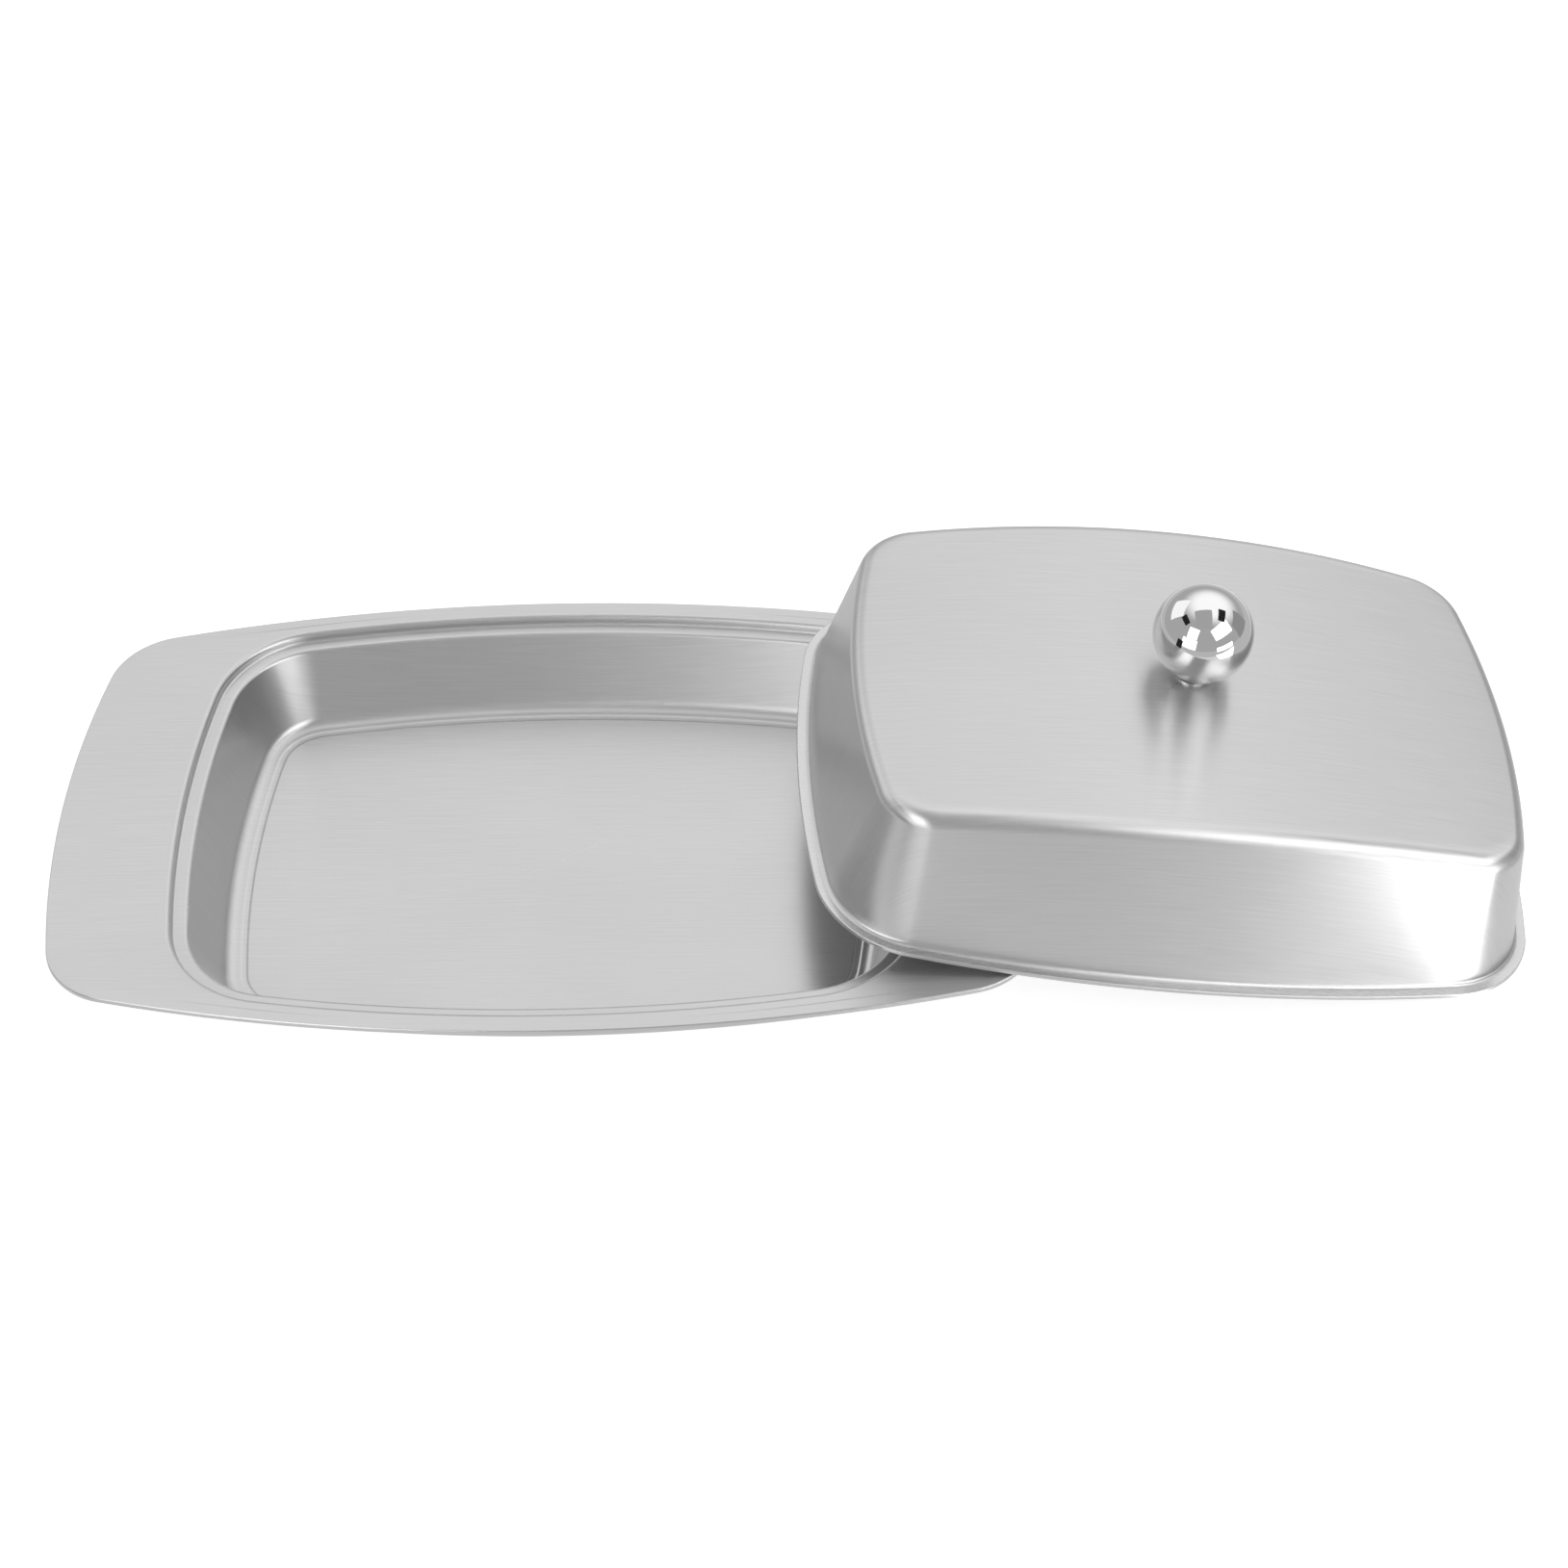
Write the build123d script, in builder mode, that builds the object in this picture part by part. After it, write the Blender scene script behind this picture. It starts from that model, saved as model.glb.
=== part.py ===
from build123d import *
from math import atan2, cos, sqrt
import os

# Butter dish: a pressed steel dish with a lid that lifts off, and a ball knob screwed to the lid.
# Millimetres, +Z up. The origin is the centre of the dish's underside, on the table.
# The lid stands where it was put down: leaning on the dish's right handle, its far end on the table.

# ---- dish ----
SHEET = 1.2                      # thickness of the dish's sheet
DISH_HEIGHT = 18.0               # table to the top of the flange
FLANGE = (97.5, 59.75, 372.9, 210.0, 15.4)   # outline: half length, half width, side, end and corner radius
WELL = (74.9, 56.7, 336.0, 225.6, 23.2)      # inner edge of the flange, given the same way
STEP_RUN = 1.5                   # the flange's inner edge to the foot of the step
STEP_DEPTH = 2.05                # the flange down to the ledge that carries the lid
LEDGE_WIDTH = 2.9
SIDE_WALL_RUN = 6.9              # how far the side walls lean in between ledge and floor
END_WALL_RUN = 5.5
FLANGE_EDGE_RADIUS = 1.1         # where the flange turns down into the step
STEP_FOOT_RADIUS = 0.5
LEDGE_EDGE_RADIUS = 1.0
FLOOR_RADIUS = 2.85
SHEET_EDGE_RADIUS = 0.3          # the broken edge of the cut sheet
RING_INSET = 2.4                 # shallow pressed ring in the floor, inside the floor's corner
RING_WIDTH = 1.6
RING_DEPTH = 0.15

# ---- lid, in its own frame: the rim's underside at zero, +Z through the knob ----
LID_SHEET = 0.9
RIM = (72.13, 53.93, 333.23, 222.83, 20.43)  # outline of the lid's rim
RIM_WIDTH = 2.2                  # flat rim outside the wall
RIM_BEND_RADIUS = 1.0
CROWN_HEIGHT = 33.0              # rim's underside to the highest point of the top
CROWN_RADIUS = 333.0             # the top is arched along its length
SHOULDER_RADIUS = 3.4            # edge between the top and the wall
WALL_TOP = 36.0                  # height at which the wall's upper outline is given, above the crown
WALL_HEAD = (62.8, 44.0, 440.0, 170.0, 9.4)  # outline of the wall there
KNOB_HOLE_RADIUS = 2.15

# ---- knob and its fastener ----
BALL_RADIUS = 9.65
BALL_RISE = 9.7                  # crown to the ball's centre
FOOT_RADIUS = 3.6                # short turned foot under the ball
SCREW_RADIUS = 1.95
TAP_RADIUS = 2.0
TAP_DEPTH = 7.0                  # depth of the tapped hole above the crown
SCREW_REACH = 5.5                # how far the screw goes into the ball
SCREW_TIP_CHAMFER = 0.4
HEAD_RADIUS = 4.0
HEAD_HEIGHT = 2.4
HEAD_EDGE_RADIUS = 1.2
RECESS_LENGTH = 4.2
RECESS_WIDTH = 1.1
RECESS_DEPTH = 1.5
WASHER_RADIUS = 4.5
WASHER_HOLE_RADIUS = 2.15
WASHER_THICKNESS = 0.8
WASHER_EDGE_CHAMFER = 0.15
WASHER_GAP = 0.04                # the flat washer meets the arched sheet at its rim only

# ---- where the lid stands ----
LID_PLACE = (119.75, 5.75, 12.03)   # the rim's centre
LID_TURN = (-1.29, 9.25, 1.9)       # degrees about X, then Y, then Z: the left end is propped up

lid_frame = Plane(Location(LID_PLACE, LID_TURN, Extrinsic.XYZ))


def pulled_in(outline, ends, sides):
    """The same barrel outline, with its ends and its sides moved in by their own distances."""
    half_length, half_width, side_radius, end_radius, corner_radius = outline
    return (
        half_length - ends,
        half_width - sides,
        side_radius - sides,
        end_radius - ends,
        corner_radius - (ends + sides) / 2,
    )


def inset(outline, distance):
    """The same barrel outline, moved in by a distance all round."""
    return pulled_in(outline, distance, distance)


def barrel(half_length, half_width, side_radius, end_radius, corner_radius):
    """A four-sided outline with bowed sides, bowed ends and round corners."""
    with BuildSketch(mode=Mode.PRIVATE) as outline:
        with Locations((0, half_width - side_radius)):
            Circle(side_radius)
        with Locations((0, side_radius - half_width)):
            Circle(side_radius, mode=Mode.INTERSECT)
        for side in (1, -1):
            with Locations(Location((side * (half_length - end_radius), 0, 0), (0, 0, 90))):
                Circle(end_radius, mode=Mode.INTERSECT)
        fillet(outline.vertices(), corner_radius)
    return outline.sketch


def edges_near(part, plane, height, outline, tolerance=0.2):
    """Edges of a part that lie at a height above a plane, along an outline."""
    length = barrel(*outline).face().outer_wire().length
    level = [e for e in part.edges() if abs(plane.to_local_coords(e.center()).Z - height) < tolerance]
    loops = Wire.combine(level)
    loop = min(loops, key=lambda wire: abs(wire.length - length))
    return loop.edges()


def behind(run, depth):
    """How far in the wall's outer face is, at a depth below the ledge, from the wall's head."""
    return run / wall_height * depth - SHEET / cos(atan2(run, wall_height))


# ---- dish: one sheet, drawn into a flange, a step, a ledge, a sloping wall and a floor ----
ledge_z = DISH_HEIGHT - STEP_DEPTH
wall_height = ledge_z - SHEET
step_foot = inset(WELL, STEP_RUN)
ledge_edge = inset(WELL, STEP_RUN + LEDGE_WIDTH)
floor_edge = pulled_in(ledge_edge, END_WALL_RUN, SIDE_WALL_RUN)
under_ledge = pulled_in(ledge_edge, behind(END_WALL_RUN, SHEET), behind(SIDE_WALL_RUN, SHEET))
under_floor = pulled_in(ledge_edge, behind(END_WALL_RUN, ledge_z), behind(SIDE_WALL_RUN, ledge_z))
under_step = inset(step_foot, -SHEET)

with BuildPart() as dish:
    with BuildSketch(Plane.XY.offset(DISH_HEIGHT - SHEET)):
        add(barrel(*FLANGE))
    extrude(amount=SHEET)
    fillet(dish.edges().group_by(Axis.Z)[-1] + dish.edges().group_by(Axis.Z)[0], SHEET_EDGE_RADIUS)
    with BuildSketch(Plane.XY.offset(ledge_z - SHEET)):
        add(barrel(*under_step))
    extrude(amount=STEP_DEPTH)
    with BuildSketch(Plane.XY):
        add(barrel(*under_floor))
    with BuildSketch(Plane.XY.offset(ledge_z - SHEET)):
        add(barrel(*under_ledge))
    loft(ruled=True)
    with BuildSketch(Plane.XY.offset(ledge_z)):
        add(barrel(*step_foot))
    extrude(amount=STEP_DEPTH, mode=Mode.SUBTRACT)
    with BuildSketch(Plane.XY.offset(SHEET)):
        add(barrel(*floor_edge))
    with BuildSketch(Plane.XY.offset(ledge_z)):
        add(barrel(*ledge_edge))
    loft(ruled=True, mode=Mode.SUBTRACT)
    fillet(edges_near(dish.part, Plane.XY, 0, under_floor), FLOOR_RADIUS + SHEET)
    fillet(edges_near(dish.part, Plane.XY, SHEET, floor_edge), FLOOR_RADIUS)
    fillet(edges_near(dish.part, Plane.XY, ledge_z - SHEET, under_step), STEP_FOOT_RADIUS + SHEET)
    fillet(edges_near(dish.part, Plane.XY, ledge_z, step_foot), STEP_FOOT_RADIUS)
    fillet(edges_near(dish.part, Plane.XY, ledge_z, ledge_edge), LEDGE_EDGE_RADIUS)
    fillet(edges_near(dish.part, Plane.XY, DISH_HEIGHT, step_foot), FLANGE_EDGE_RADIUS)
    with BuildSketch(Plane.XY.offset(SHEET)):
        add(barrel(*inset(floor_edge, RING_INSET)))
        add(barrel(*inset(floor_edge, RING_INSET + RING_WIDTH)), mode=Mode.SUBTRACT)
    extrude(amount=-RING_DEPTH, mode=Mode.SUBTRACT)


# ---- lid: one sheet, an arched top, a leaning wall and a narrow turned-out rim ----
def bell(thickness):
    """The lid's form without its rim, at a sheet thickness inside the outer surface."""
    foot = inset(RIM, RIM_WIDTH + thickness)
    head = inset(WALL_HEAD, thickness)
    crown = CROWN_HEIGHT - thickness
    radius = CROWN_RADIUS - thickness
    with BuildPart(mode=Mode.PRIVATE) as form:
        with BuildSketch(Plane.XY):
            add(barrel(*foot))
        with BuildSketch(Plane.XY.offset(WALL_TOP)):
            add(barrel(*head))
        loft(ruled=True)
        with BuildSketch(Plane.XZ):
            with Locations((0, crown - radius)):
                Circle(radius)
        extrude(amount=RIM[1], both=True, mode=Mode.INTERSECT)
        arch = form.faces().sort_by(Axis.Z)[-1]
        fillet(arch.edges(), SHOULDER_RADIUS - thickness)
    return form.part


with BuildPart() as lid:
    with BuildSketch(lid_frame):
        add(barrel(*RIM))
    extrude(amount=LID_SHEET)
    add(lid_frame.location * bell(0))
    fillet(edges_near(lid.part, lid_frame, LID_SHEET, inset(RIM, RIM_WIDTH)), RIM_BEND_RADIUS)
    add(lid_frame.location * bell(LID_SHEET), mode=Mode.SUBTRACT)
    fillet(edges_near(lid.part, lid_frame, 0, inset(RIM, RIM_WIDTH + LID_SHEET)), RIM_BEND_RADIUS)
    with BuildSketch(lid_frame.offset(CROWN_HEIGHT)):
        Circle(KNOB_HOLE_RADIUS)
    extrude(amount=-2 * LID_SHEET, mode=Mode.SUBTRACT)

# ---- knob: a polished ball on a short foot, tapped from below ----
crown_frame = lid_frame.offset(CROWN_HEIGHT)

with BuildPart() as knob_ball:
    with BuildSketch(Plane(crown_frame.origin, x_dir=crown_frame.x_dir, z_dir=-crown_frame.y_dir)):
        with BuildLine():
            foot_top = BALL_RISE - sqrt(BALL_RADIUS**2 - FOOT_RADIUS**2)
            Polyline((0, BALL_RISE + BALL_RADIUS), (0, 0), (FOOT_RADIUS, 0), (FOOT_RADIUS, foot_top))
            ThreePointArc(
                (FOOT_RADIUS, foot_top),
                (BALL_RADIUS, BALL_RISE),
                (0, BALL_RISE + BALL_RADIUS),
            )
        make_face()
    revolve(axis=Axis(crown_frame.origin, crown_frame.z_dir))
    with BuildSketch(crown_frame):
        Circle(TAP_RADIUS)
    extrude(amount=TAP_DEPTH, mode=Mode.SUBTRACT)

# ---- washer and pan-head screw, from inside the lid ----
washer_frame = crown_frame.offset(-LID_SHEET - WASHER_GAP)
head_frame = washer_frame.offset(-WASHER_THICKNESS)
screw_axis = Axis(head_frame.origin, head_frame.z_dir)

with BuildPart() as knob_washer:
    with BuildSketch(washer_frame):
        Circle(WASHER_RADIUS)
        Circle(WASHER_HOLE_RADIUS, mode=Mode.SUBTRACT)
    extrude(amount=-WASHER_THICKNESS)
    chamfer(knob_washer.edges().filter_by(GeomType.CIRCLE).group_by(SortBy.RADIUS)[-1], WASHER_EDGE_CHAMFER)

with BuildPart() as knob_screw:
    with BuildSketch(head_frame):
        Circle(HEAD_RADIUS)
    extrude(amount=-HEAD_HEIGHT)
    fillet(knob_screw.faces().sort_by(screw_axis)[0].edges(), HEAD_EDGE_RADIUS)
    with BuildSketch(head_frame.offset(-HEAD_HEIGHT)):
        for turn in (0, 90):
            Rectangle(RECESS_LENGTH, RECESS_WIDTH, rotation=turn)
    extrude(amount=RECESS_DEPTH, mode=Mode.SUBTRACT)
    with BuildSketch(head_frame):
        Circle(SCREW_RADIUS)
    extrude(amount=WASHER_THICKNESS + WASHER_GAP + LID_SHEET + SCREW_REACH)
    chamfer(knob_screw.faces().sort_by(screw_axis)[-1].edges(), SCREW_TIP_CHAMFER)

# ---- write the pieces ----
os.makedirs("parts", exist_ok=True)
pieces = {
    "dish": dish,
    "lid": lid,
    "knob_ball": knob_ball,
    "knob_washer": knob_washer,
    "knob_screw": knob_screw,
}
for name, piece in pieces.items():
    piece.part.label = name
    export_step(piece.part, f"parts/{name}.step")
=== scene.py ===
from math import atan2, cos, hypot, pi, radians, sin, sqrt, tan

import bpy
import numpy as np
from mathutils import Euler, Matrix, Vector


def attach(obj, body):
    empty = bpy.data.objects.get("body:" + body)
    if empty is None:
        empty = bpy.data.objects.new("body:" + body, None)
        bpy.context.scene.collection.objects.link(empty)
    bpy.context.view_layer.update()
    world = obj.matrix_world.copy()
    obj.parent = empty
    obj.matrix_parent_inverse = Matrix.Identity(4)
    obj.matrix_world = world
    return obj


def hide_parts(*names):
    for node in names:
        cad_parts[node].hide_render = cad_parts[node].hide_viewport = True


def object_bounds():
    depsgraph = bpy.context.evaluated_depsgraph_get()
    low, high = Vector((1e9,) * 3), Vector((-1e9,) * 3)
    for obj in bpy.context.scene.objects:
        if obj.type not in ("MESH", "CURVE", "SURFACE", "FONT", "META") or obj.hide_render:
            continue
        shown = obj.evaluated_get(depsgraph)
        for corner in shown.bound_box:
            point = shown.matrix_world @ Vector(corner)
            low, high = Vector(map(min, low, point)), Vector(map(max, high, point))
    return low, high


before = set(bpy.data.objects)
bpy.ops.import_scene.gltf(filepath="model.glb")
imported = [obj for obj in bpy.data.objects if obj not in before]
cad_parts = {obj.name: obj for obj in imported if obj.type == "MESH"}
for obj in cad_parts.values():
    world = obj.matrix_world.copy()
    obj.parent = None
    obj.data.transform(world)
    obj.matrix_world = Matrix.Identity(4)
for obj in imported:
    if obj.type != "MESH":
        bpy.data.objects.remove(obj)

# A steel butter dish, its lid leaning on one handle, and the lid's ball knob.
# Shapes are worked out in millimetres, in the CAD model's frame, and made in metres.
MM = 0.001
cad_low, cad_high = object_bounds()

# ---- dish ----
SHEET = 1.2
DISH_HEIGHT = 18.0
# outlines: half length, half width, side radius, end radius, corner radius
FLANGE = (97.5, 59.75, 372.9, 210.0, 15.4)
WELL = (74.9, 56.7, 336.0, 225.6, 23.2)
STEP_RUN = 1.5
STEP_DEPTH = 2.05
LEDGE_WIDTH = 2.9
END_WALL_RUN = 5.5
SIDE_WALL_RUN = 6.9
FLANGE_EDGE_RADIUS = 1.1
STEP_FOOT_RADIUS = 0.5
LEDGE_EDGE_RADIUS = 1.0
FLOOR_RADIUS = 2.85
SHEET_EDGE_RADIUS = 0.3
RING_INSET = 2.4
RING_WIDTH = 1.6
RING_DEPTH = 0.15
RING_SLOPE = 0.4
RING_RADIUS = 1.0

# ---- lid, in its own frame ----
LID_SHEET = 0.9
RIM = (72.13, 53.93, 333.23, 222.83, 20.43)
RIM_WIDTH = 2.2
RIM_EDGE_RADIUS = 0.2
RIM_BEND_RADIUS = 1.0
CROWN_HEIGHT = 33.0
CROWN_RADIUS = 333.0
SHOULDER_RADIUS = 3.4
WALL_TOP = 36.0     # a level above the arched top, up to which the wall's lines are drawn
WALL_HEAD = (62.8, 44.0, 440.0, 170.0, 9.4)    # the wall's outline there
KNOB_HOLE_RADIUS = 2.15
LID_PLACE = (119.75, 5.75, 12.03)
LID_TURN = (-1.29, 9.25, 1.9)

# ---- knob ----
BALL_RADIUS = 9.65
BALL_RISE = 9.7     # the ball's centre above the lid
FOOT_RADIUS = 3.6
FOOT_CHAMFER = 0.2
NECK_LINE = 0.05    # height of the sharp corner between the foot and the ball
TAP_RADIUS = 2.0
TAP_DEPTH = 7.0
TAP_CHAMFER = 0.3

# ---- mesh detail ----
SIDE_STEPS, CORNER_STEPS, END_STEPS = 44, 22, 32    # around a quarter of an outline
FILLET_STEPS = 8
CENTRE_SCALES = (0.97, 0.9, 0.78, 0.62, 0.44, 0.26, 0.1, 0.02)    # of the rings inside a flat ring
TURNED_STEPS = 128
BALL_STEPS = 72
BALL_TIP, TAP_TIP = 0.0193, 0.04    # radius of the small flat face that closes a turned shape at its axis
BEYOND = 1.0        # how far a profile goes on, level, past its last bend
CORNER_BEND = 0.1   # bend of a corner that the CAD model leaves sharp
MEETING_ROUNDS = 20    # rounds in which a wall's line is followed up to the arched top
STEEP = 0.05    # steps with less level run than this share of their length count as upright

lid_turn = Euler([radians(angle) for angle in LID_TURN]).to_matrix().to_4x4()
lid_matrix = Matrix.Translation(Vector(LID_PLACE) * MM) @ lid_turn
crown_matrix = lid_matrix @ Matrix.Translation((0, 0, CROWN_HEIGHT * MM))


# ======== shapes ========
def pulled_in(shape, ends, sides):
    """The same barrel outline, with its ends and its sides moved in by their own distances."""
    half_length, half_width, side_radius, end_radius, corner_radius = shape
    return (
        half_length - ends,
        half_width - sides,
        side_radius - sides,
        end_radius - ends,
        corner_radius - (ends + sides) / 2,
    )


def inset(shape, distance):
    """The same barrel outline, moved in by a distance all round."""
    return pulled_in(shape, distance, distance)


def outline(shape):
    """Points and outward normals around a barrel outline: bowed sides and ends with round corners."""
    half_length, half_width, side_radius, end_radius, corner_radius = shape
    side = np.array((0.0, half_width - side_radius))
    end = np.array((half_length - end_radius, 0.0))
    span = end - side
    distance = hypot(*span)
    from_side, from_end = side_radius - corner_radius, end_radius - corner_radius
    along = (from_side**2 - from_end**2 + distance**2) / (2 * distance)
    across = sqrt(from_side**2 - along**2)
    corner = side + (along * span + across * np.array((span[1], -span[0]))) / distance
    side_end = atan2(*(corner - side)[::-1])
    corner_end = atan2(*(corner - end)[::-1])
    arcs = (
        (side, side_radius, pi / 2, side_end, SIDE_STEPS),
        (corner, corner_radius, side_end, corner_end, CORNER_STEPS),
        (end, end_radius, corner_end, 0.0, END_STEPS),
    )
    points, normals = [], []
    for centre, radius, first, last, steps in arcs:
        angles = np.linspace(first, last, steps, endpoint=False)
        turn = np.stack((np.cos(angles), np.sin(angles)), axis=1)
        points.append(centre + radius * turn)
        normals.append(turn)
    points.append([(half_length, 0.0)])
    normals.append([(1.0, 0.0)])
    return around(np.concatenate(points)), around(np.concatenate(normals))


def around(quarter):
    """A quarter of a ring, from +Y to +X, mirrored into the whole ring."""
    parts = []
    for x, y, backwards in ((1, 1, False), (1, -1, True), (-1, -1, False), (-1, 1, True)):
        part = quarter * (x, y)
        parts.append((part[::-1] if backwards else part)[:-1])
    return np.concatenate(parts)


def end_share():
    """How much each point around an outline belongs to its ends: none on the sides, all on the ends."""
    corner = np.linspace(0, 1, CORNER_STEPS, endpoint=False)
    quarter = np.concatenate((np.zeros(SIDE_STEPS), corner, np.ones(END_STEPS + 1)))
    return np.abs(around(np.stack((quarter, quarter), axis=1)))[:, :1]


def profile(corners):
    """A line through (inset, height, radius) corners with round bends, as points and left-hand normals."""
    places = [np.array(c[:2], float) for c in corners]
    made = []
    for k in range(1, len(corners) - 1):
        back = places[k - 1] - places[k]
        ahead = places[k + 1] - places[k]
        back, ahead = back / hypot(*back), ahead / hypot(*ahead)
        made.extend(bend(places[k], back, ahead, corners[k][2]))
    first = (places[0], made[0][1])
    last = (places[-1], made[-1][1])
    return [first, *made, last]


def bend(corner, back, ahead, radius):
    """An arc that rounds a corner between two directions, as points and left-hand normals."""
    normal_in = np.array((back[1], -back[0]))
    normal_out = np.array((-ahead[1], ahead[0]))
    turn = atan2(normal_in[0] * normal_out[1] - normal_in[1] * normal_out[0], float(normal_in @ normal_out))
    reach = radius * tan(abs(turn) / 2)
    start = corner + back * reach
    side = 1 if turn > 0 else -1
    centre = start + normal_in * radius * side
    result = []
    for k in range(FILLET_STEPS + 1):
        angle = turn * k / FILLET_STEPS
        normal = np.array((
            normal_in[0] * cos(angle) - normal_in[1] * sin(angle),
            normal_in[0] * sin(angle) + normal_in[1] * cos(angle),
        ))
        result.append((centre - normal * radius * side, normal))
    return result


def rings(shape, end_corners, side_corners):
    """Rings of a barrel outline along two profiles, for its ends and its sides: 3-D points and normals."""
    made = []
    share = end_share()
    for end, side in zip(profile(end_corners), profile(side_corners)):
        points, across = outline(pulled_in(shape, end[0][0], side[0][0]))
        level = side[0][1] + (end[0][1] - side[0][1]) * share
        lean = side[1] + (end[1] - side[1]) * share
        lean = lean / np.linalg.norm(lean, axis=1)[:, None]
        made.append((np.hstack((points, level)), np.hstack((-lean[:, :1] * across, lean[:, 1:]))))
    return made


def towards_centre(ring):
    """Rings that carry a flat ring on, smaller and smaller, to near its centre."""
    points, normals = ring
    return [(points * (scale, scale, 1), normals) for scale in CENTRE_SCALES]


def ring_faces(ring_count, count, loop):
    """Faces from ring to ring. A loop joins its last ring to its first; otherwise flat faces close both."""
    faces = []
    for k in range(ring_count if loop else ring_count - 1):
        a, b = k * count, (k + 1) % ring_count * count
        for i in range(count):
            j = (i + 1) % count
            faces.append((a + i, a + j, b + j, b + i))
    if not loop:
        faces.append(tuple(range(count))[::-1])
        faces.append(tuple(range((ring_count - 1) * count, ring_count * count)))
    return faces


def skin(name, ring_list, grain, matrix=Matrix(), loop=False):
    """A mesh over rings of points, put in place by a matrix.

    Its normals are the rings' own, and its UV map is the grain, each point's place on the flat sheet.
    """
    points = np.concatenate([ring[0] for ring in ring_list])
    normals = np.concatenate([ring[1] for ring in ring_list])
    faces = ring_faces(len(ring_list), len(ring_list[0][0]), loop)
    sample = faces[len(faces) // 2]    # shows whether the faces look the way of the normals
    corner = points[list(sample)]
    facing = np.cross(corner[1] - corner[0], corner[2] - corner[0])
    if facing @ normals[sample[0]] < 0:
        faces = [face[::-1] for face in faces]
    turn = np.array(matrix.to_3x3())
    normals = normals @ turn.T
    mesh = bpy.data.meshes.new(name)
    mesh.from_pydata([tuple(p) for p in points @ turn.T * MM + np.array(matrix.translation)], [], faces)
    mesh.shade_smooth()
    layer = mesh.uv_layers.new(name="grain")
    plane = np.concatenate(grain) * MM
    vertex = np.empty(len(mesh.loops), int)
    mesh.loops.foreach_get("vertex_index", vertex)
    layer.data.foreach_set("uv", plane[vertex].ravel().astype(np.float32))
    mesh.normals_split_custom_set_from_vertices([tuple(n) for n in normals])
    mesh.validate()
    obj = bpy.data.objects.new(name, mesh)
    bpy.context.scene.collection.objects.link(obj)
    return obj


def unrolled(ring_list):
    """Each ring's place on the flat sheet, for rings that go out from its centre."""
    plane = [ring_list[0][0][:, :2]]
    outward = outline(WELL)[1]    # the way an upright step unrolls, on the dish and the lid alike
    for (before, _), (points, _) in zip(ring_list, ring_list[1:]):
        step = points - before
        length = np.linalg.norm(step, axis=1)[:, None]
        level = np.linalg.norm(step[:, :2], axis=1)[:, None]
        upright = level < STEEP * length
        ahead = np.where(upright, outward, step[:, :2] / np.maximum(level, STEEP * length))
        plane.append(plane[-1] + ahead * length)
    return plane


# ======== dish ========
LEDGE = DISH_HEIGHT - STEP_DEPTH
UNDER_FLANGE = DISH_HEIGHT - SHEET
EDGE_WIDTH = 2.0    # how far the rings of the cut edge reach in over the flange's two faces


def under_profile(wall_run):
    """The underside from the floor to the flange, as insets from the well's edge, heights and radii."""
    slope = wall_run / (LEDGE - SHEET)
    wall_top = STEP_RUN + LEDGE_WIDTH - SHEET / cos(atan2(wall_run, LEDGE - SHEET))
    return (
        (STEP_RUN + LEDGE_WIDTH + wall_run + RING_INSET + RING_WIDTH + BEYOND, 0),
        (wall_top + slope * LEDGE, 0, FLOOR_RADIUS + SHEET),
        (wall_top + slope * SHEET, LEDGE - SHEET, CORNER_BEND),
        (STEP_RUN - SHEET, LEDGE - SHEET, STEP_FOOT_RADIUS + SHEET),
        (STEP_RUN - SHEET, UNDER_FLANGE, CORNER_BEND),
        (-BEYOND, UNDER_FLANGE),
    )


def top_profile(wall_run):
    """The top side from the flange to the floor, inside the pressed ring."""
    ledge_edge = STEP_RUN + LEDGE_WIDTH
    ring = ledge_edge + wall_run + RING_INSET
    return (
        (-BEYOND, DISH_HEIGHT),
        (STEP_RUN, DISH_HEIGHT, FLANGE_EDGE_RADIUS),
        (STEP_RUN, LEDGE, STEP_FOOT_RADIUS),
        (ledge_edge, LEDGE, LEDGE_EDGE_RADIUS),
        (ledge_edge + wall_run, SHEET, FLOOR_RADIUS),
        (ring, SHEET, RING_RADIUS),
        (ring + RING_SLOPE, SHEET - RING_DEPTH, RING_RADIUS),
        (ring + RING_WIDTH - RING_SLOPE, SHEET - RING_DEPTH, RING_RADIUS),
        (ring + RING_WIDTH, SHEET, RING_RADIUS),
        (ring + RING_WIDTH + BEYOND, SHEET),
    )


def dish_rings():
    """The pressed sheet: the underside from its centre out, the cut edge, then the top side back in."""
    edge_profile = (
        (EDGE_WIDTH, UNDER_FLANGE),
        (0, UNDER_FLANGE, SHEET_EDGE_RADIUS),
        (0, DISH_HEIGHT, SHEET_EDGE_RADIUS),
        (EDGE_WIDTH, DISH_HEIGHT),
    )
    underside = rings(WELL, under_profile(END_WALL_RUN), under_profile(SIDE_WALL_RUN))
    edge = rings(FLANGE, edge_profile, edge_profile)
    top = rings(WELL, top_profile(END_WALL_RUN), top_profile(SIDE_WALL_RUN))
    lower = towards_centre(underside[0])[::-1] + underside
    upper = edge + top + towards_centre(top[-1])
    return lower + upper, unrolled(lower) + unrolled(upper[::-1])[::-1]


# ======== lid ========
def crown(x):
    """Height of the lid's arched top."""
    return CROWN_HEIGHT - CROWN_RADIUS + np.sqrt(CROWN_RADIUS**2 - x**2)


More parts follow.
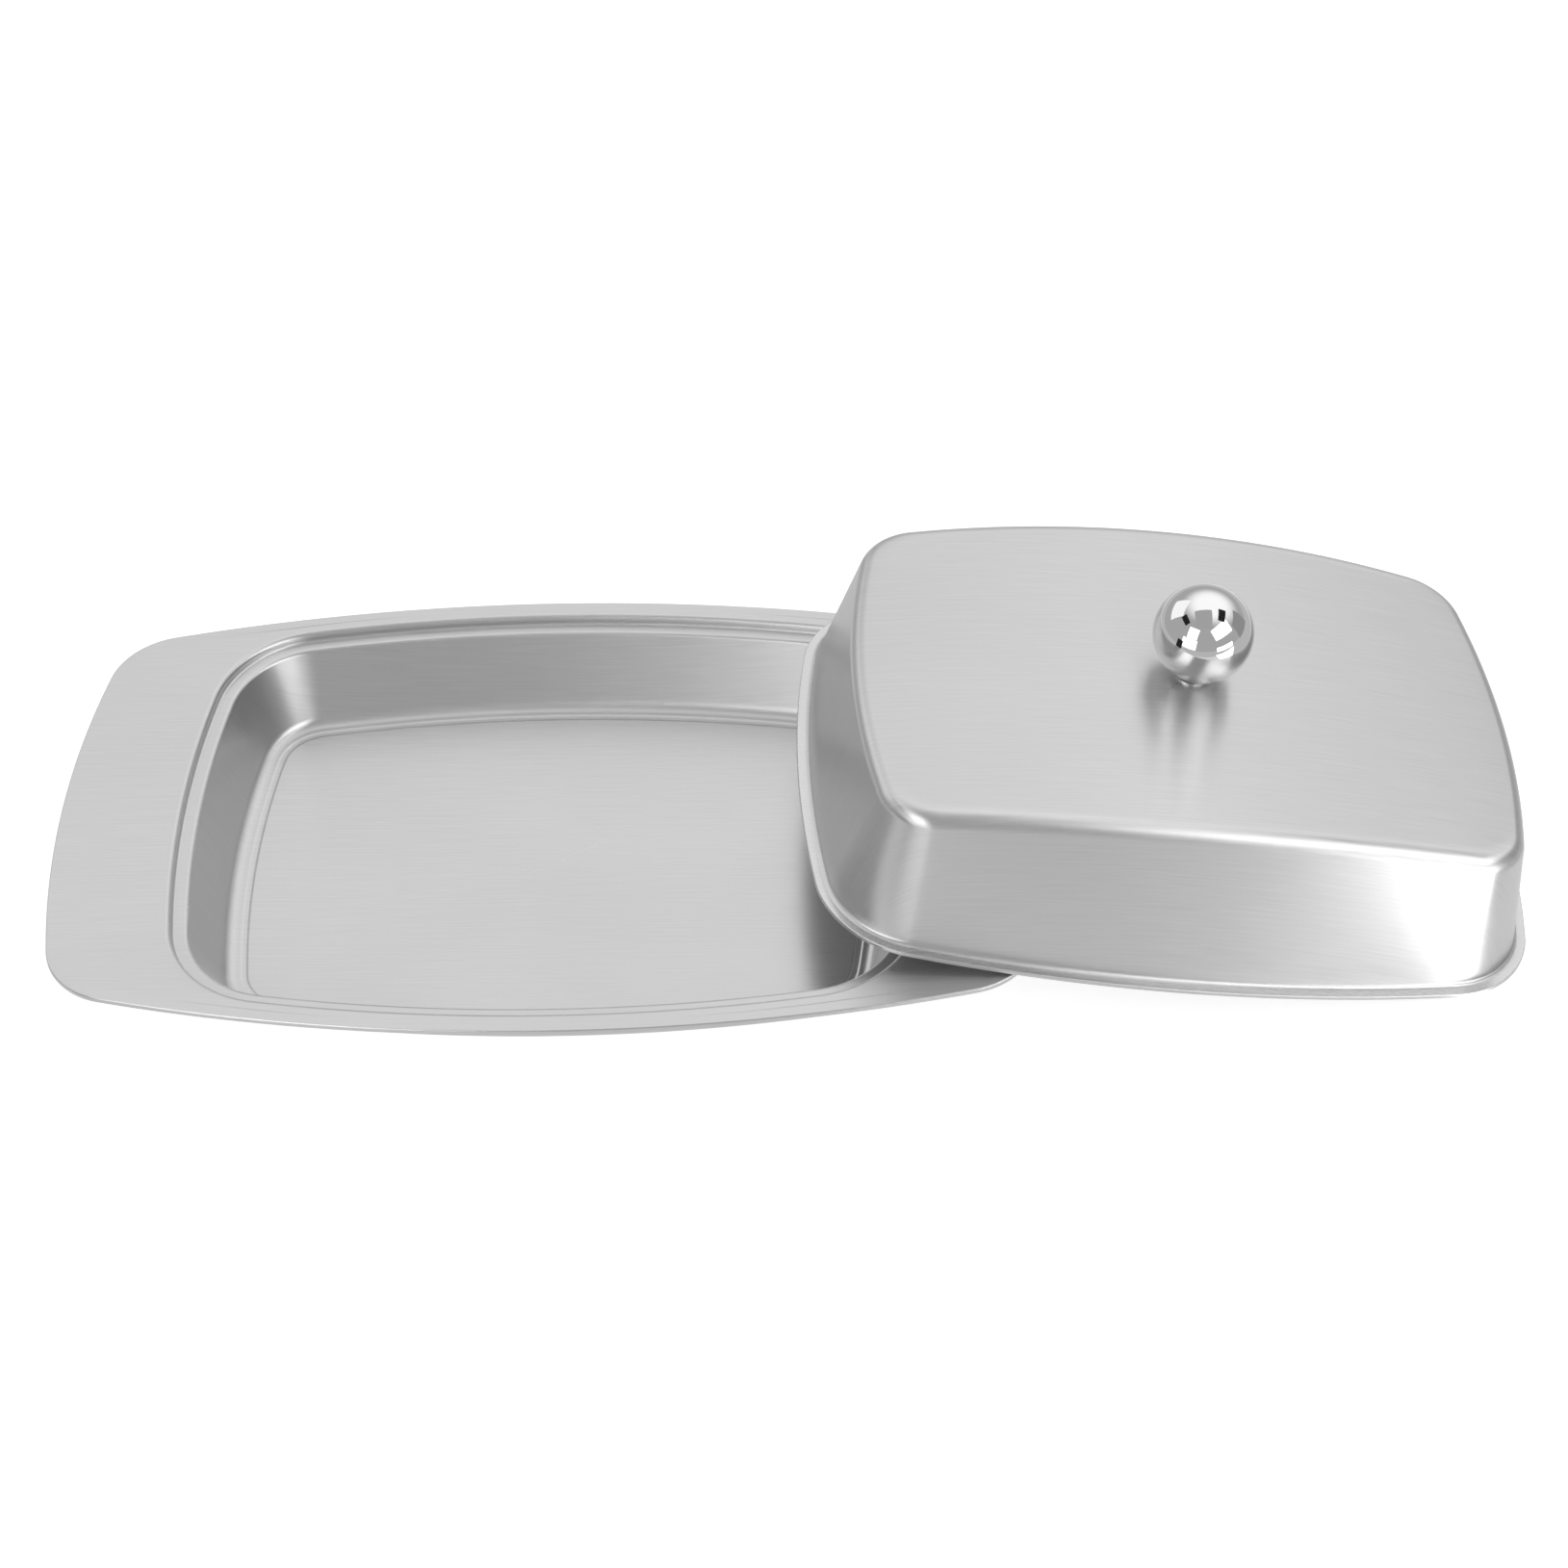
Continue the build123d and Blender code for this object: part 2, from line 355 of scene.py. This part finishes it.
def fillet_rings(corner, start, end, radius, outward):
    """Rings of arcs that round each corner point between two unit directions; normals point outward."""
    half = np.arccos(np.clip(np.sum(start * end, axis=1), -1, 1)) / 2
    reach = (radius / np.tan(half))[:, None]
    middle = start + end
    middle = middle / np.linalg.norm(middle, axis=1)[:, None]
    centre = corner + middle * (radius / np.sin(half))[:, None]
    first = (corner + start * reach - centre) / radius
    last = (corner + end * reach - centre) / radius
    sweep = np.arccos(np.clip(np.sum(first * last, axis=1), -1, 1))[:, None]
    made = []
    for k in range(FILLET_STEPS + 1):
        share = k / FILLET_STEPS
        arm = (np.sin((1 - share) * sweep) * first + np.sin(share * sweep) * last) / np.sin(sweep)
        made.append((centre + arm * radius, arm * outward))
    return made


def wall_lines():
    """The outer wall's straight lines, one at each point of the outline.

    Gives the level direction outward, the direction up the wall, the points where the wall meets the rim and
    the arched top, and the direction in over the top from there.
    """
    foot, side = outline(inset(RIM, RIM_WIDTH))
    head = outline(WALL_HEAD)[0]
    flat = np.zeros((len(foot), 1))
    side = np.hstack((side, flat))
    along = np.stack((-side[:, 1], side[:, 0], flat[:, 0]), axis=1)
    foot = np.hstack((foot, flat))
    climb = np.hstack((head, flat + WALL_TOP)) - foot
    share = np.full((len(foot), 1), 0.9)    # a first guess of how far up each line meets the arched top
    for _ in range(MEETING_ROUNDS):
        share = share + (crown((foot + climb * share)[:, :1]) - (foot + climb * share)[:, 2:]) / WALL_TOP
    shoulder = foot + climb * share
    bottom = foot + climb * (LID_SHEET / WALL_TOP)
    rise = climb - along * np.sum(climb * along, axis=1)[:, None]
    rise = rise / np.linalg.norm(rise, axis=1)[:, None]
    slope = -shoulder[:, 0] / np.sqrt(CROWN_RADIUS**2 - shoulder[:, 0]**2)
    inward = np.hstack((-side[:, :2], (-side[:, 0] * slope)[:, None]))
    inward = inward / np.linalg.norm(inward, axis=1)[:, None]
    return side, rise, bottom, shoulder, inward


def crown_rings(shoulder_edge):
    """Rings over the arched top, from the shoulder's inner edge to the knob's hole."""
    edge = shoulder_edge[:, :2]
    hole = edge / np.linalg.norm(edge, axis=1)[:, None] * KNOB_HOLE_RADIUS
    made = []
    for scale in (*CENTRE_SCALES[:-1], 0.0):
        place = edge * scale + hole * (1 - scale)
        x = place[:, :1]
        height = crown(x)
        normal = np.hstack((x, np.zeros_like(x), height - CROWN_HEIGHT + CROWN_RADIUS)) / CROWN_RADIUS
        made.append((np.hstack((place, height)), normal))
    return made


def lid_rings():
    """The inner surface from the knob's hole out, the rim's edge, then the outer surface back in."""
    side, rise, bottom, shoulder, inward = wall_lines()
    rim = outline(inset(RIM, RIM_EDGE_RADIUS))[0]
    rim_height = np.full((len(rim), 1), LID_SHEET)
    outer = [(np.hstack((rim, rim_height)), np.tile((0.0, 0.0, 1.0), (len(rim), 1)))]
    outer += fillet_rings(bottom, side, rise, RIM_BEND_RADIUS, -1)
    outer += fillet_rings(shoulder, -rise, inward, SHOULDER_RADIUS, 1)
    outer += crown_rings(outer[-1][0])
    inner = [(points - normals * LID_SHEET, -normals) for points, normals in outer]
    edge_profile = (
        (RIM_EDGE_RADIUS * 2, 0),
        (0, 0, RIM_EDGE_RADIUS),
        (0, LID_SHEET, RIM_EDGE_RADIUS),
        (RIM_EDGE_RADIUS * 2, LID_SHEET),
    )
    lower = inner[::-1]
    upper = rings(RIM, edge_profile, edge_profile)[1:-1] + outer
    return lower + upper, unrolled(lower) + unrolled(upper[::-1])[::-1]


# ======== knob ========
def turned(name, line, matrix):
    """A turned piece: a line of (radius, height, normal) points spun about Z."""
    made = []
    for (radius, height), (out, up) in line:
        angles = np.linspace(0, 2 * pi, TURNED_STEPS, endpoint=False)
        circle = np.stack((np.cos(angles), np.sin(angles)), axis=1)
        level = np.full((TURNED_STEPS, 1), height)
        lift = np.full((TURNED_STEPS, 1), up)
        made.append((np.hstack((circle * radius, level)), np.hstack((circle * out, lift))))
    return skin(name, made, [ring[0][:, :2] for ring in made], matrix)


def ball_line():
    """From inside the tapped hole, down and out round the foot, and up over the ball."""
    waist = sqrt(BALL_RADIUS**2 - FOOT_RADIUS**2)
    start = atan2(-waist, FOOT_RADIUS)
    line = [
        ((TAP_TIP, TAP_DEPTH), (0, -1)),
        ((TAP_RADIUS, TAP_DEPTH), (-1, 0)),
        ((TAP_RADIUS, TAP_CHAMFER), (-1, 0)),
        ((TAP_RADIUS + TAP_CHAMFER, 0), (0, -1)),
        ((FOOT_RADIUS - FOOT_CHAMFER, 0), (0, -1)),
        ((FOOT_RADIUS, FOOT_CHAMFER), (1, 0)),
        ((FOOT_RADIUS, BALL_RISE - waist - NECK_LINE), (1, 0)),
    ]
    for angle in np.linspace(start, pi / 2, BALL_STEPS)[:-1]:
        out, up = cos(angle), sin(angle)
        line.append(((BALL_RADIUS * out, BALL_RISE + BALL_RADIUS * up), (out, up)))
    line.append(((BALL_TIP, BALL_RISE + BALL_RADIUS), (0, 1)))
    return line


# ======== materials ========
SATIN_TINT = (0.62, 0.62, 0.62)
SATIN_ROUGHNESS = 0.335
MIRROR_TINT = (0.76, 0.76, 0.76)
FASTENER_TINT = (0.58, 0.58, 0.57)


def node(tree, kind, **values):
    """A shader node with some of its inputs or settings given by name."""
    made = tree.nodes.new(kind)
    for key, value in values.items():
        if key in made.inputs:
            made.inputs[key].default_value = value
        else:
            setattr(made, key, value)
    return made


def new_metal(name):
    """A bare metal to be filled in: the material, its nodes and its shader."""
    material = bpy.data.materials.new(name)
    material.use_nodes = True
    tree = material.node_tree
    shader = tree.nodes["Principled BSDF"]
    shader.inputs["Metallic"].default_value = 1.0
    return material, tree, shader


def streaks(tree, place, scale, detail, roughness=0.6):
    """Noise from 0 to 1, with its own number of grains per metre along each axis of a place."""
    mapping = node(tree, "ShaderNodeMapping", Scale=scale)
    noise = node(tree, "ShaderNodeTexNoise", Scale=1.0, Detail=detail, Roughness=roughness)
    tree.links.new(place, mapping.inputs["Vector"])
    tree.links.new(mapping.outputs["Vector"], noise.inputs["Vector"])
    return noise.outputs["Fac"]


def spread(tree, value, low, high):
    """Noise taken to a range of its own; most noise lies in its middle."""
    made = node(tree, "ShaderNodeMapRange")
    made.inputs["From Min"].default_value = 0.3
    made.inputs["From Max"].default_value = 0.7
    made.inputs["To Min"].default_value = low
    made.inputs["To Max"].default_value = high
    tree.links.new(value, made.inputs["Value"])
    return made.outputs["Result"]


def total(tree, values):
    """The sum of several values."""
    result = values[0]
    for value in values[1:]:
        both = node(tree, "ShaderNodeMath", operation="ADD")
        tree.links.new(result, both.inputs[0])
        tree.links.new(value, both.inputs[1])
        result = both.outputs[0]
    return result


def mottle(tree, shader, marks, tint, darkest, lightest):
    """Vary a shader's colour with some marks, between two shares of its tint."""
    colour = node(tree, "ShaderNodeMix", data_type="RGBA")
    colour.inputs["A"].default_value = (*(channel * darkest for channel in tint), 1)
    colour.inputs["B"].default_value = (*(channel * lightest for channel in tint), 1)
    tree.links.new(marks, colour.inputs["Factor"])
    tree.links.new(colour.outputs["Result"], shader.inputs["Base Color"])


def scratch(tree, shader, marks, strength, depth):
    """Press some marks into a shader's surface, to a depth in metres."""
    bump = node(tree, "ShaderNodeBump", Strength=strength, Distance=depth)
    tree.links.new(marks, bump.inputs["Height"])
    tree.links.new(bump.outputs["Normal"], shader.inputs["Normal"])


def worn_edges(tree, change):
    """A change of roughness that comes in on outer edges, where handling polishes them."""
    edge = node(tree, "ShaderNodeMapRange")
    edge.inputs["From Min"].default_value = 0.52
    edge.inputs["From Max"].default_value = 0.6
    edge.inputs["To Max"].default_value = change
    worn = node(tree, "ShaderNodeNewGeometry").outputs["Pointiness"]
    tree.links.new(worn, edge.inputs["Value"])
    return edge.outputs["Result"]


def brushed_steel(name, tint, roughness):
    """Satin stainless steel, brushed along the sheet's length, a little smoother on its worn edges."""
    material, tree, shader = new_metal(name)
    place = node(tree, "ShaderNodeUVMap", uv_map="grain").outputs["UV"]
    marks = streaks(tree, place, (60, 2600, 1), detail=3)
    hair = streaks(tree, place, (220, 9000, 1), detail=2)
    clouds = streaks(tree, place, (18, 30, 1), detail=3, roughness=0.5)
    mottle(tree, shader, marks, tint, 0.88, 1.12)
    parts = [
        spread(tree, marks, roughness - 0.03, roughness + 0.03),
        spread(tree, clouds, -0.015, 0.015),
        worn_edges(tree, -0.06),
        spread(tree, hair, -0.015, 0.015),
    ]
    tree.links.new(total(tree, parts), shader.inputs["Roughness"])
    scratch(tree, shader, marks, 0.2, 0.02 * MM)

    tangent = node(tree, "ShaderNodeTangent", direction_type="UV_MAP", uv_map="grain")
    tree.links.new(tangent.outputs["Tangent"], shader.inputs["Tangent"])
    shader.inputs["Anisotropic"].default_value = 0.85
    shader.inputs["Anisotropic Rotation"].default_value = 0.25    # the gloss stretches across the brushing
    return material


def polished_steel(name, tint):
    """Mirror polish with faint finger marks and the finest polishing lines."""
    material, tree, shader = new_metal(name)
    place = node(tree, "ShaderNodeTexCoord").outputs["Object"]
    smudge = streaks(tree, place, (160, 160, 160), detail=4)
    lines = streaks(tree, place, (300, 300, 9000), detail=2, roughness=0.5)
    shader.inputs["Base Color"].default_value = (*tint, 1)
    tree.links.new(spread(tree, smudge, 0.03, 0.06), shader.inputs["Roughness"])
    scratch(tree, shader, lines, 0.02, 0.01 * MM)
    return material


def fastener_steel(name, tint):
    """Plain bright steel with turning marks, for the screw and the washer."""
    material, tree, shader = new_metal(name)
    place = node(tree, "ShaderNodeTexCoord").outputs["Object"]
    marks = streaks(tree, place, (900, 900, 900), detail=4)
    mottle(tree, shader, marks, tint, 0.9, 1)
    tree.links.new(spread(tree, marks, 0.24, 0.36), shader.inputs["Roughness"])
    scratch(tree, shader, marks, 0.1, 0.02 * MM)
    return material


# ======== camera ========
CAMERA_PLACE = (60.3, -432.1, 448.3)
CAMERA_PITCH = 44.58      # degrees below the horizon
CAMERA_YAW = 1.89
CAMERA_ROLL = -2.03
CAMERA_LENS = 70.9


def add_camera():
    """The photograph's view."""
    data = bpy.data.cameras.new("camera")
    data.lens = CAMERA_LENS
    data.clip_start, data.clip_end = 0.01, 20
    camera = bpy.data.objects.new("camera", data)
    yaw = Matrix.Rotation(radians(CAMERA_YAW), 4, "Z")
    pitch = Matrix.Rotation(radians(90 - CAMERA_PITCH), 4, "X")
    roll = Matrix.Rotation(radians(CAMERA_ROLL), 4, "Z")
    camera.matrix_world = Matrix.Translation(Vector(CAMERA_PLACE) * MM) @ yaw @ pitch @ roll
    bpy.context.scene.collection.objects.link(camera)
    bpy.context.scene.camera = camera


# ======== room and lights, in metres ========
def square(reach):
    """Corners of a square around the origin."""
    return [(x * reach, y * reach) for x, y in ((-1, -1), (1, -1), (1, 1), (-1, 1))]


# a grey room, with a white dome high behind the object and a little to its right
ROOM_GREY, DOME_WHITE = 0.47, 1.25
DOME_AZIMUTH, DOME_ELEVATION = 150, 64
DOME_CORE, DOME_EDGE = 20, 56     # degrees from the dome's middle where it starts to fade and ends

# name, azimuth, elevation, distance, width, height, radiance
SOFTBOXES = (
    ("softbox_left", -33, 39, 1.3, 0.54, 0.55, 2.7),
    ("softbox_right", 51, 38, 1.3, 1.02, 0.6, 2.3),
)
# the same, for white and grey sheets and black flags that only the steel sees
CARDS = (
    ("sheet_low", 45, 3, 1.35, 0.84, 0.23, 3.8),
    ("sheet_left", -36, 14, 1.35, 0.85, 0.55, 1.9),
    ("ceiling_front", 0, 76, 1.25, 0.8, 1.0, 0.45),
    ("wall_right", 98, 8, 1.5, 0.9, 1.2, 0.33),
    ("sheet_side_left", -128, 35, 1.6, 1.1, 0.9, 1.2),
    ("flag_left", -83, 52, 1.2, 0.5, 0.26, 0.02),
    ("flag_right", 90, 53, 1.2, 0.55, 0.3, 0.02),
    ("flag_low", -54, 4, 0.45, 0.12, 0.22, 0.02),
)

# floor and tables lie just below the dish, one under the other
FLOOR_REACH = 6.0
FLOOR_LEVEL = -0.05 * MM
FLOOR_GREY, FLOOR_GLOW = 0.5, 0.74
# name, corners, level, radiance; the last is a lit patch at the front right
TABLES = (
    ("table_near", square(0.24), -0.03 * MM, 0.83),
    ("table_far", square(5.0), -0.04 * MM, 0.58),
    ("table_glow", ((0.174, -0.036), (0.25, -0.3), (0.6, -0.3), (0.62, -0.25)), -0.02 * MM, 2.6),
)

BACKDROP_RADIUS, BACKDROP_HEIGHT, BACKDROP_PANELS = 5.5, 8.0, 48
BACKDROP_RADIANCE = 1.1


def flat_mesh(name, corners, level=0.0):
    """One level face with four corners."""
    mesh = bpy.data.meshes.new(name)
    mesh.from_pydata([(x, y, level) for x, y in corners], [], [(0, 1, 2, 3)])
    return mesh


def glowing_material(name, grey, radiance):
    """A plain matt material that gives off white light."""
    material = bpy.data.materials.new(name)
    material.use_nodes = True
    shader = material.node_tree.nodes["Principled BSDF"]
    shader.inputs["Base Color"].default_value = (grey, grey, grey, 1)
    shader.inputs["Emission Color"].default_value = (1, 1, 1, 1)
    shader.inputs["Emission Strength"].default_value = radiance
    return material, shader


def add_floor():
    """A pale floor that shows the object's soft shadow."""
    mesh = flat_mesh("floor", square(FLOOR_REACH), FLOOR_LEVEL)
    material, shader = glowing_material("pale_floor", FLOOR_GREY, FLOOR_GLOW)
    shader.inputs["Roughness"].default_value = 0.9
    mesh.materials.append(material)
    floor = bpy.data.objects.new("floor", mesh)
    bpy.context.scene.collection.objects.link(floor)


def bearing(azimuth, elevation):
    """A unit vector. Azimuth 0 is in front, positive to the right."""
    a, e = radians(azimuth), radians(elevation)
    return Vector((sin(a) * cos(e), -cos(a) * cos(e), sin(e)))


def facing_object(azimuth, elevation, distance):
    """A matrix at a bearing from the object's middle, facing it."""
    target = Vector(((cad_low[0] + cad_high[0]) / 2, 0, 0.02))
    away = bearing(azimuth, elevation)
    return Matrix.Translation(target + away * distance) @ away.to_track_quat("Z", "Y").to_matrix().to_4x4()


def add_softbox(name, azimuth, elevation, distance, width, height, radiance):
    """A large soft lamp."""
    data = bpy.data.lights.new(name, "AREA")
    data.shape = "RECTANGLE"
    data.size, data.size_y = width, height
    data.energy = radiance * pi * width * height
    light = bpy.data.objects.new(name, data)
    light.matrix_world = facing_object(azimuth, elevation, distance)
    light.visible_camera = False
    bpy.context.scene.collection.objects.link(light)


def add_board(name, mesh, radiance):
    """A plain board that only the steel sees: the camera, the floor and the shadows don't."""
    board = bpy.data.objects.new(name, mesh)
    material, shader = glowing_material(name, 0, radiance)
    shader.inputs["Specular IOR Level"].default_value = 0
    mesh.materials.append(material)
    board.visible_camera = False
    board.visible_shadow = False
    board.visible_diffuse = False
    bpy.context.scene.collection.objects.link(board)
    return board


def add_card(name, azimuth, elevation, distance, width, height, radiance):
    """A board that stands in the room and faces the object."""
    corners = [(x * width, y * height) for x, y in square(0.5)]
    board = add_board(name, flat_mesh(name, corners), radiance)
    board.matrix_world = facing_object(azimuth, elevation, distance)


def add_table(name, corners, level, radiance):
    """A board that lies on the floor, which the steel reflects in the floor's place."""
    add_board(name, flat_mesh(name, corners, level), radiance)


def add_backdrop():
    """A white wall all round, far off, seen by the camera but not by the steel."""
    count = BACKDROP_PANELS
    turns = [2 * pi * k / count for k in range(count)]
    points = [
        (BACKDROP_RADIUS * cos(turn), BACKDROP_RADIUS * sin(turn), z)
        for z in (0, BACKDROP_HEIGHT)
        for turn in turns
    ]
    faces = [(k, (k + 1) % count, count + (k + 1) % count, count + k) for k in range(count)]
    mesh = bpy.data.meshes.new("backdrop")
    mesh.from_pydata(points, [], faces)
    wall = add_board("backdrop", mesh, BACKDROP_RADIANCE)
    wall.visible_camera = True
    wall.visible_glossy = False


def add_room():
    """The grey room with its white dome, as the world's light."""
    world = bpy.data.worlds.new("white_room")
    world.use_nodes = True
    tree = world.node_tree
    background = tree.nodes["Background"]
    background.inputs["Color"].default_value = (1, 1, 1, 1)
    place = node(tree, "ShaderNodeTexCoord")
    towards = node(tree, "ShaderNodeVectorMath", operation="DOT_PRODUCT")
    towards.inputs[1].default_value = bearing(DOME_AZIMUTH, DOME_ELEVATION)
    dome = node(tree, "ShaderNodeMapRange", interpolation_type="SMOOTHSTEP")
    dome.inputs["From Min"].default_value = cos(radians(DOME_EDGE))
    dome.inputs["From Max"].default_value = cos(radians(DOME_CORE))
    dome.inputs["To Min"].default_value = ROOM_GREY
    dome.inputs["To Max"].default_value = DOME_WHITE
    tree.links.new(place.outputs["Generated"], towards.inputs[0])
    tree.links.new(towards.outputs["Value"], dome.inputs["Value"])
    tree.links.new(dome.outputs["Result"], background.inputs["Strength"])
    bpy.context.scene.world = world
    bpy.context.scene.view_settings.view_transform = "Standard"


def add_studio():
    """Everything around the object."""
    add_floor()
    add_room()
    for softbox in SOFTBOXES:
        add_softbox(*softbox)
    for card in CARDS:
        add_card(*card)
    for table in TABLES:
        add_table(*table)
    add_backdrop()


# ======== the model ========
add_camera()
add_studio()

dish = skin("dish_sheet", *dish_rings())
lid = skin("lid_sheet", *lid_rings(), lid_matrix, loop=True)
ball = turned("knob_polished", ball_line(), crown_matrix)

dish.data.materials.append(brushed_steel("dish_brushed", SATIN_TINT, SATIN_ROUGHNESS))
lid.data.materials.append(brushed_steel("lid_brushed", SATIN_TINT, SATIN_ROUGHNESS))
ball.data.materials.append(polished_steel("ball_mirror", MIRROR_TINT))
fastener = fastener_steel("fastener_bright", FASTENER_TINT)
for name in ("knob_washer", "knob_screw"):
    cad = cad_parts[name]
    cad.data.materials.clear()
    cad.data.materials.append(fastener)

for piece, body, stands_for, slot in (
    (dish, "dish", "dish", "dish_steel"),
    (lid, "lid", "lid", "lid_steel"),
    (ball, "lid", "knob_ball", "polished_ball"),
):
    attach(piece, body)
    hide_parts(stands_for)

bpy.context.view_layer.update()
